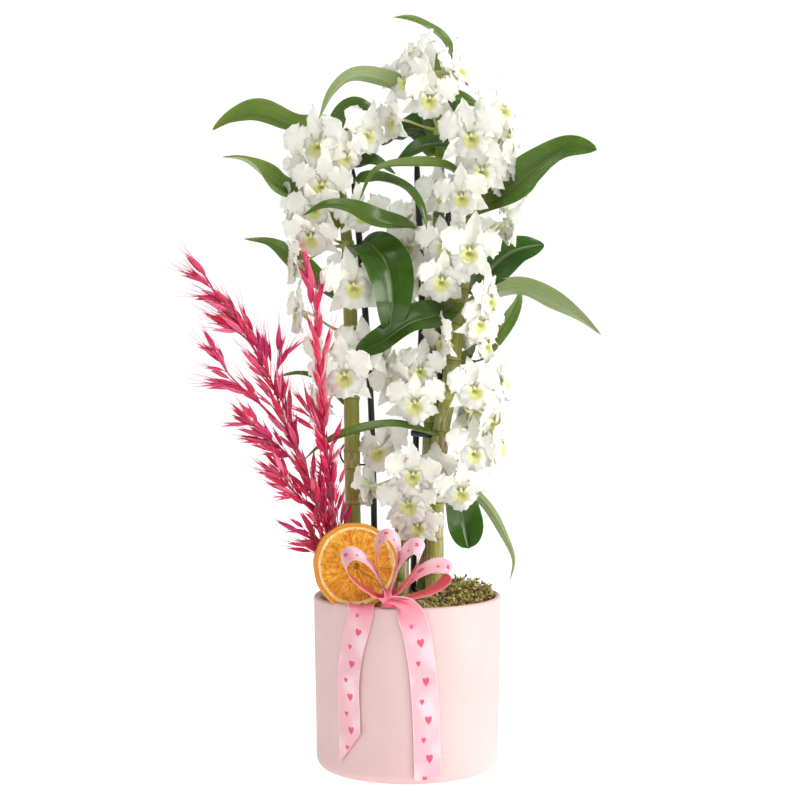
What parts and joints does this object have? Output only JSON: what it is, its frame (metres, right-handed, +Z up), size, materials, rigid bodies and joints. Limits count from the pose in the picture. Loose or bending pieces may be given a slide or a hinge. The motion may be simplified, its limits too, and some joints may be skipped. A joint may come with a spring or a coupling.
{
  "type": "potted dendrobium orchid",
  "caption": "White dendrobium orchid: leafy flowering canes on stakes in a matte ceramic pot, dressed with moss, dyed oat grass, a dried orange slice and a satin ribbon bow.",
  "frame": {"origin": "centre of the pot's flat underside, on the surface it stands on", "axes": "+Z up along the canes, -Y to the front where the ribbon bow is, +X to the right seen from the front"},
  "size_m": [0.3172, 0.1619, 0.5621],
  "materials": {
    "pot_ceramic": "matte",
    "potting_mix": "matte",
    "moss": "matte",
    "cane": "satin",
    "leaf": "satin",
    "petal": "satin",
    "stake": "gloss",
    "orange": "satin",
    "oat": "matte",
    "ribbon": "satin"
  },
  "bodies": {
    "root": {"blooms_crown": "petal", "blooms_left_heart": "petal", "blooms_left_low": "petal", "blooms_left_lower": "petal", "blooms_left_middle": "petal", "blooms_left_shoulder": "petal", "blooms_left_top": "petal", "blooms_left_upper": "petal", "blooms_middle_heart": "petal", "blooms_middle_low": "petal", "blooms_middle_lower": "petal", "blooms_middle_top": "petal", "blooms_middle_upper": "petal", "blooms_right_heart": "petal", "blooms_right_low": "petal", "blooms_right_lower": "petal", "blooms_right_shoulder": "petal", "blooms_right_top": "petal", "blooms_right_upper": "petal", "cane_left": "cane", "cane_middle": "cane", "cane_right": "cane", "clip_left_upper": "stake", "clip_middle_lower": "stake", "clip_middle_upper": "stake", "leaf_back_left": "leaf", "leaf_back_middle": "leaf", "leaf_bowed_left": "leaf", "leaf_broad_right": "leaf", "leaf_crown_back": "leaf", "leaf_crown_front": "leaf", "leaf_crown_tip": "leaf", "leaf_curled_right": "leaf", "leaf_drooping_right": "leaf", "leaf_folded_middle": "leaf", "leaf_front_right": "leaf", "leaf_hanging_left": "leaf", "leaf_level_right": "leaf", "leaf_long_right": "leaf", "leaf_low_left": "leaf", "leaf_low_middle": "leaf", "leaf_rising_right": "leaf", "leaf_second_left": "leaf", "leaf_second_right": "leaf", "leaf_short_left": "leaf", "leaf_side_middle": "leaf", "leaf_third_left": "leaf", "leaf_trailing_right": "leaf", "leaf_upper_left": "leaf", "moss": "moss", "oat_spray_left": "oat", "oat_spray_right": "oat", "old_stub": "cane", "orange_slice": "orange", "pot": "pot_ceramic", "potting_mix": "potting_mix", "ribbon_bow": "ribbon", "stake_left": "stake", "stake_middle": "stake", "stake_right": "stake"}
  },
  "joints": []
}
